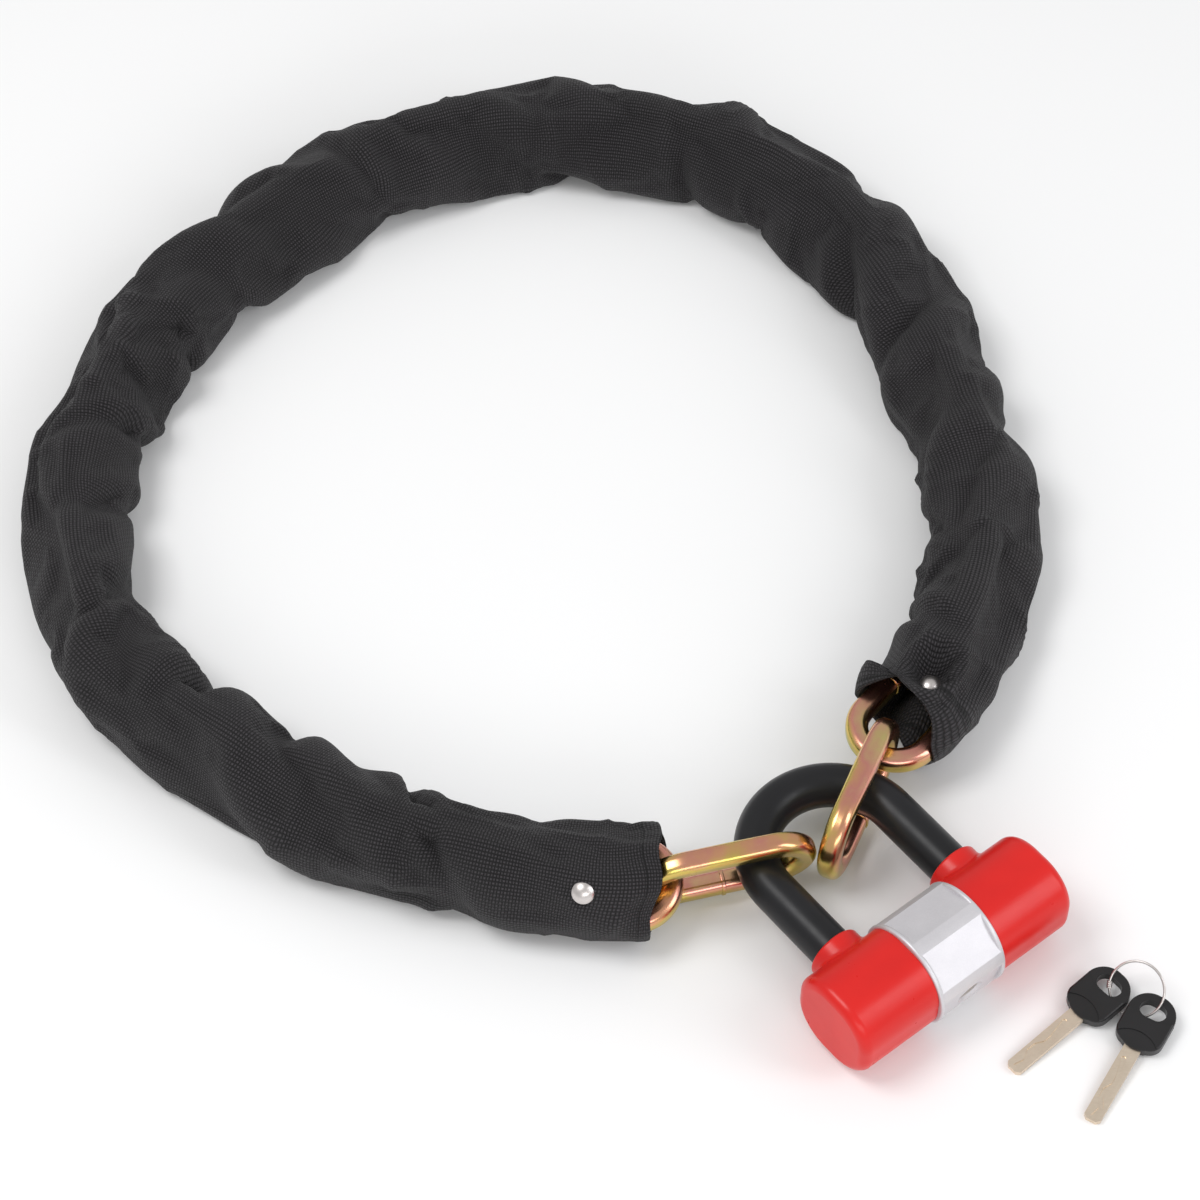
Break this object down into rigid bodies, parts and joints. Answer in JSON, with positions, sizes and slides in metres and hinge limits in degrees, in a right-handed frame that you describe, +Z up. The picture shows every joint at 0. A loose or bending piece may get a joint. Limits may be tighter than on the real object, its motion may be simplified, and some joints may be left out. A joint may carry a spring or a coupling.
{
  "type": "chain lock",
  "caption": "Chain lock: hardened square-link chain in a loose black woven sleeve, its end links held on a small D lock with red covers and a silver band, with keys on a wire ring.",
  "frame": {"origin": "middle of the plan outline, on the floor it lies on", "axes": "+Z up off the floor; the lock and keys are at the front right (+X, -Y) and the chain loop lies behind and left of them; the picture looks along +Y from above"},
  "size_m": [0.4558, 0.5188, 0.043],
  "materials": {
    "hardened_steel": "ground, lightly oiled",
    "black_vinyl": "satin dipped vinyl",
    "red_plastic": "satin-gloss moulded",
    "silver_paint": "pearly satin silver",
    "brass": "machined",
    "zinc_gold": "yellow zinc passivated, iridescent",
    "nylon_weave": "coarse basket weave",
    "nickel": "nickel plated",
    "black_plastic": "fine-grained satin",
    "nickel_silver": "milled nickel silver"
  },
  "bodies": {
    "bar": {"bar_body": "hardened_steel", "bar_end_plugs": "hardened_steel", "cover_left": "red_plastic", "cover_right": "red_plastic", "band": "silver_paint", "cylinder_housing": "brass", "cylinder_pin": "hardened_steel"},
    "shackle": {"shackle_core": "hardened_steel", "shackle_coating": "black_vinyl"},
    "plug": {"plug": "brass", "plug_pins": "brass", "cam": "hardened_steel"},
    "bolt_right": {"bolt_right": "hardened_steel"},
    "bolt_left": {"bolt_left": "hardened_steel"},
    "left_1": {"end_link_left": "zinc_gold", "second_link_left": "zinc_gold", "chain_left_1": "zinc_gold", "sleeve_left_1": "nylon_weave", "rivet_left": "nickel", "rivet_back_left": "nickel"},
    "left_2": {"chain_left_2": "zinc_gold", "sleeve_left_2": "nylon_weave"},
    "left_3": {"chain_left_3": "zinc_gold", "sleeve_left_3": "nylon_weave"},
    "top": {"chain_top": "zinc_gold", "sleeve_top": "nylon_weave"},
    "right_3": {"chain_right_3": "zinc_gold", "sleeve_right_3": "nylon_weave"},
    "right_2": {"chain_right_2": "zinc_gold", "sleeve_right_2": "nylon_weave"},
    "right_1": {"end_link_right": "zinc_gold", "second_link_right": "zinc_gold", "sleeve_right_1": "nylon_weave", "rivet_right": "nickel", "rivet_back_right": "nickel"},
    "key_ring": {"key_ring": "nickel"},
    "key_1": {"key_1_head": "black_plastic", "key_1_blade": "nickel_silver"},
    "key_2": {"key_2_head": "black_plastic", "key_2_blade": "nickel_silver"}
  },
  "joints": [
    {"name": "shackle_release", "type": "slide", "parent": "bar", "child": "shackle", "axis": [-0.6239, 0.7815, 0], "range_m": [0, 0.045]},
    {"name": "plug_turn", "type": "hinge", "parent": "bar", "child": "plug", "pos_m": [0.13721, -0.19789, 0.02148], "axis": [-0.6144, 0.7696, 0.1736], "range_deg": [0, 90]},
    {"name": "bolt_right_slide", "type": "slide", "parent": "bar", "child": "bolt_right", "axis": [0.7815, 0.6239, 0], "range_m": [0, 0.004]},
    {"name": "bolt_left_slide", "type": "slide", "parent": "bar", "child": "bolt_left", "axis": [-0.7815, -0.6239, 0], "range_m": [0, 0.004]},
    {"name": "chain_swing_left", "type": "hinge", "parent": "shackle", "child": "left_1", "pos_m": [0.07651, -0.15449, 0.0214], "axis": [0, 0, 1], "range_deg": [0, 18]},
    {"name": "chain_bend_left", "type": "hinge", "parent": "left_1", "child": "left_2", "pos_m": [-0.18999, -0.05399, 0.0214], "axis": [0, 0, 1], "range_deg": [-15, 15]},
    {"name": "chain_bend_left_far", "type": "hinge", "parent": "left_2", "child": "left_3", "pos_m": [-0.18713, 0.10969, 0.0214], "axis": [0, 0, 1], "range_deg": [-15, 15]},
    {"name": "chain_swing_top", "type": "hinge", "parent": "left_3", "child": "top", "pos_m": [-0.11999, 0.19101, 0.0214], "axis": [0, 0, 1], "range_deg": [-18, 0]},
    {"name": "chain_swing_right", "type": "hinge", "parent": "top", "child": "right_3", "pos_m": [-0.08696, 0.21824, 0.0214], "axis": [0, 0, 1], "range_deg": [0, 18]},
    {"name": "chain_bend_right_far", "type": "hinge", "parent": "right_3", "child": "right_2", "pos_m": [0.15438, 0.09697, 0.0214], "axis": [0, 0, 1], "range_deg": [-15, 15]},
    {"name": "chain_bend_right", "type": "hinge", "parent": "right_2", "child": "right_1", "pos_m": [0.15153, -0.0667, 0.0214], "axis": [0, 0, 1], "range_deg": [-15, 15]},
    {"name": "keys_lift", "type": "slide", "parent": "bar", "child": "key_ring", "axis": [0, 0, 1], "range_m": [0, 0.1]},
    {"name": "key_1_swing", "type": "hinge", "parent": "key_ring", "child": "key_1", "pos_m": [0.20395, -0.20342, 0.00469], "axis": [0, 0, 1], "range_deg": [-20, 0]},
    {"name": "key_2_swing", "type": "hinge", "parent": "key_ring", "child": "key_2", "pos_m": [0.21948, -0.21451, 0.00469], "axis": [0, 0, 1], "range_deg": [0, 20]}
  ],
  "couplings": [
    {"joint": "bolt_right_slide", "follows": "plug_turn", "m_per_rad": 0.0025465},
    {"joint": "bolt_left_slide", "follows": "plug_turn", "m_per_rad": 0.0025465},
    {"joint": "chain_swing_right", "follows": "chain_swing_left", "ratio": 1},
    {"joint": "chain_swing_top", "follows": "chain_swing_left", "ratio": -1},
    {"joint": "chain_bend_left_far", "follows": "chain_bend_left", "ratio": -1},
    {"joint": "chain_bend_right_far", "follows": "chain_bend_left", "ratio": 1},
    {"joint": "chain_bend_right", "follows": "chain_bend_left", "ratio": -1}
  ]
}
